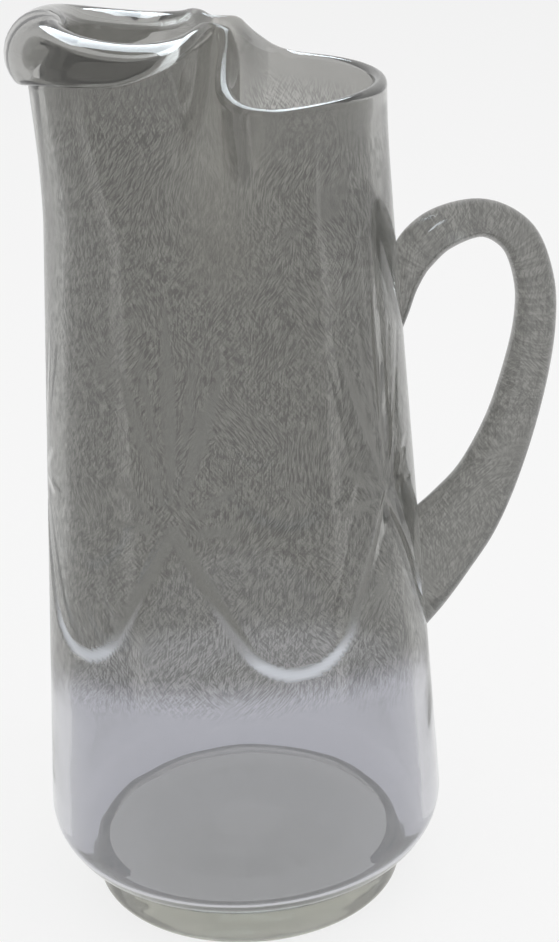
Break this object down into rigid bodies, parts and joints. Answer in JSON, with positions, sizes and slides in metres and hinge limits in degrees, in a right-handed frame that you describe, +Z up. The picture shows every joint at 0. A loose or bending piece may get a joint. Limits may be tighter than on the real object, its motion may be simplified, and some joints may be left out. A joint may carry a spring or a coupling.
{
  "type": "cocktail pitcher",
  "caption": "Tall tapered clear glass pitcher on a pad foot, with a rolled pouring spout, a pinched ice lip and an applied loop handle.",
  "frame": {"origin": "centre of the foot's flat underside, on the axis of the body", "axes": "+Z up along the body's axis, +X from the axis towards the handle, so the spout points to -X"},
  "size_m": [0.1412, 0.1096, 0.2442],
  "materials": {
    "body_glass": "clear, fire-polished",
    "foot_glass": "clear, fire-polished",
    "handle_glass": "clear, fire-polished"
  },
  "bodies": {
    "root": {"vessel_body": "body_glass", "foot": "foot_glass", "handle": "handle_glass"}
  },
  "joints": []
}
